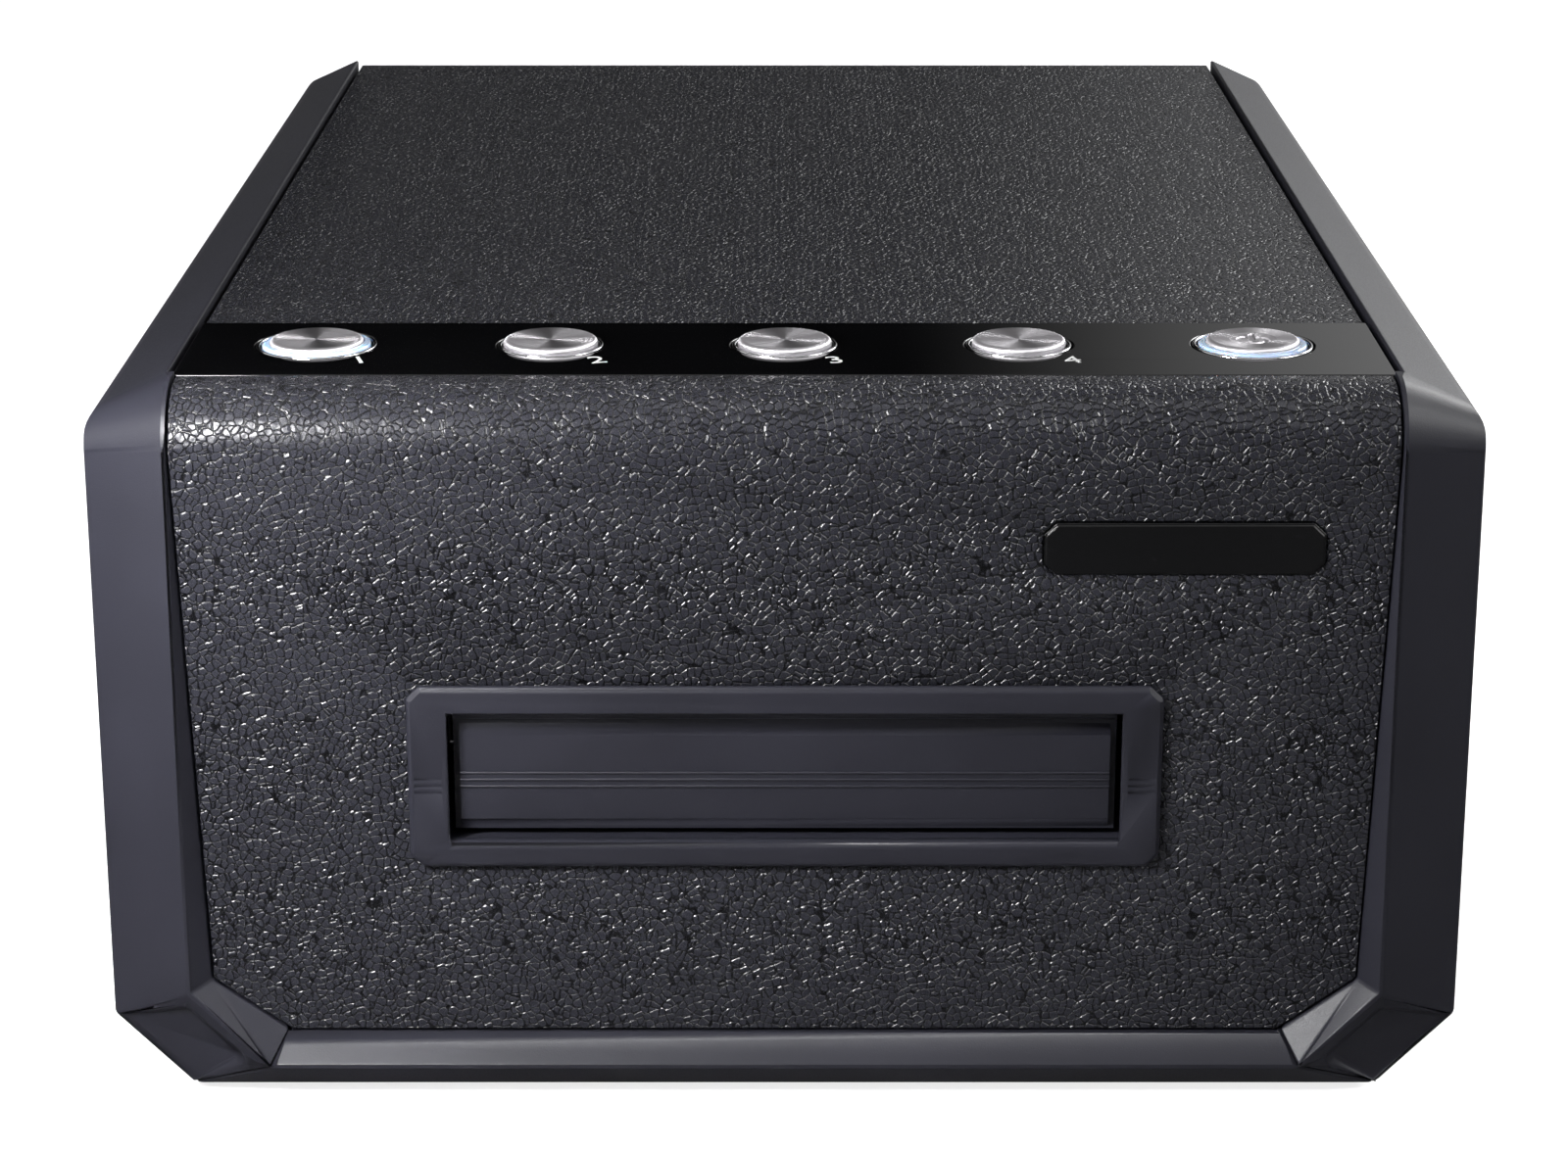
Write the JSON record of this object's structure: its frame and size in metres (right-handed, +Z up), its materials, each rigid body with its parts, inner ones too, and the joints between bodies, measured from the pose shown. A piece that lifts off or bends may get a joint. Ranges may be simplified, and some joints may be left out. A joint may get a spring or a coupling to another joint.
{
  "type": "film negative scanner",
  "caption": "Desktop scanner for film negatives: chamfered housing, grained front with a sprung slot door for the film holder, and a row of round metal buttons.",
  "frame": {"origin": "under the middle of the body, on the surface that the rubber feet stand on", "axes": "+X to the right seen from the front, +Y from the slot to the back, +Z up"},
  "size_m": [0.189, 0.259, 0.1041],
  "materials": {
    "frame_plastic": "satin dark grey moulding",
    "grain_plastic": "black leather-grain moulding",
    "gloss_black": "polished black",
    "black_plastic": "plain black",
    "spun_metal": "spun, with a polished edge",
    "bright_metal": "polished",
    "steel": "zinc plated",
    "light_ring": "pale blue translucent",
    "rubber": "soft black",
    "board": "green circuit board",
    "inner_plastic": "grey moulding",
    "nylon": "natural nylon",
    "mirror_glass": "front-silvered",
    "lens_glass": "coated",
    "diffuser": "opal white"
  },
  "bodies": {
    "casing": {"base_tray": "frame_plastic", "side_panel_left": "frame_plastic", "side_panel_right": "frame_plastic", "front_panel": "grain_plastic", "top_cover": "grain_plastic", "rear_panel": "frame_plastic", "button_plate": "gloss_black", "button_trim_rings": "bright_metal", "slot_bezel": "frame_plastic", "door_hinge_pin": "steel", "name_plaque": "gloss_black", "rubber_feet": "rubber", "case_screws": "steel", "rear_screws": "steel", "button_board": "board", "tact_switches": "black_plastic", "board_screws": "steel", "ribbon_cable": "nylon", "chassis_wall_left": "inner_plastic", "chassis_wall_right": "inner_plastic", "film_deck": "inner_plastic", "chassis_screws": "steel", "holder_sensor": "black_plastic", "lamp_housing": "inner_plastic", "lamp_board": "board", "lamp_diffuser": "diffuser", "small_screws": "steel", "optics_cradle": "black_plastic", "fold_mirror": "mirror_glass", "mirror_mount": "black_plastic", "lens_barrel": "black_plastic", "lens_glass": "lens_glass", "lens_strap": "steel", "image_sensor": "black_plastic", "sensor_board": "board", "main_board": "board", "dc_inlet": "black_plastic", "usb_socket": "steel", "stepper_motor": "steel", "gear_stud": "steel", "shaft_bushes": "nylon"},
    "slot_door": {"slot_door": "frame_plastic", "door_spring": "steel"},
    "eject_button": {"eject_button": "spun_metal", "eject_light_ring": "light_ring"},
    "positive_button": {"positive_button": "spun_metal", "positive_plunger": "black_plastic"},
    "negative_button": {"negative_button": "spun_metal", "negative_plunger": "black_plastic"},
    "custom_button": {"custom_button": "spun_metal", "custom_plunger": "black_plastic"},
    "power_button": {"power_button": "spun_metal", "power_light_ring": "light_ring"},
    "feed_shaft": {"feed_shaft": "steel", "feed_gear": "nylon", "feed_pinions": "nylon"},
    "reduction_gear": {"reduction_gear": "nylon"},
    "motor_rotor": {"motor_shaft": "steel", "motor_pinion": "steel"}
  },
  "joints": [
    {"name": "door_swing", "type": "hinge", "parent": "casing", "child": "slot_door", "pos_m": [0, -0.12439, 0.05697], "axis": [1, 0, 0], "range_deg": [0, 85], "stiffness_Nm_per_rad": 0.0015, "springref_deg": -20.05},
    {"name": "eject_press", "type": "slide", "parent": "casing", "child": "eject_button", "axis": [0, 0, -1], "range_m": [0, 0.0006], "stiffness_N_per_m": 900, "springref_m": -0.0006},
    {"name": "positive_press", "type": "slide", "parent": "casing", "child": "positive_button", "axis": [0, 0, -1], "range_m": [0, 0.0006], "stiffness_N_per_m": 900, "springref_m": -0.0006},
    {"name": "negative_press", "type": "slide", "parent": "casing", "child": "negative_button", "axis": [0, 0, -1], "range_m": [0, 0.0006], "stiffness_N_per_m": 900, "springref_m": -0.0006},
    {"name": "custom_press", "type": "slide", "parent": "casing", "child": "custom_button", "axis": [0, 0, -1], "range_m": [0, 0.0006], "stiffness_N_per_m": 900, "springref_m": -0.0006},
    {"name": "power_press", "type": "slide", "parent": "casing", "child": "power_button", "axis": [0, 0, -1], "range_m": [0, 0.0006], "stiffness_N_per_m": 900, "springref_m": -0.0006},
    {"name": "feed_shaft_turn", "type": "hinge", "parent": "casing", "child": "feed_shaft", "pos_m": [0, -0.03, 0.034], "axis": [1, 0, 0], "continuous": true},
    {"name": "reduction_gear_turn", "type": "hinge", "parent": "casing", "child": "reduction_gear", "pos_m": [-0.05, -0.04885, 0.02521], "axis": [1, 0, 0], "continuous": true},
    {"name": "motor_turn", "type": "hinge", "parent": "casing", "child": "motor_rotor", "pos_m": [-0.05, -0.06715, 0.0194], "axis": [1, 0, 0], "continuous": true}
  ],
  "couplings": [
    {"joint": "reduction_gear_turn", "follows": "feed_shaft_turn", "ratio": -3.3333},
    {"joint": "motor_turn", "follows": "feed_shaft_turn", "ratio": 10}
  ]
}
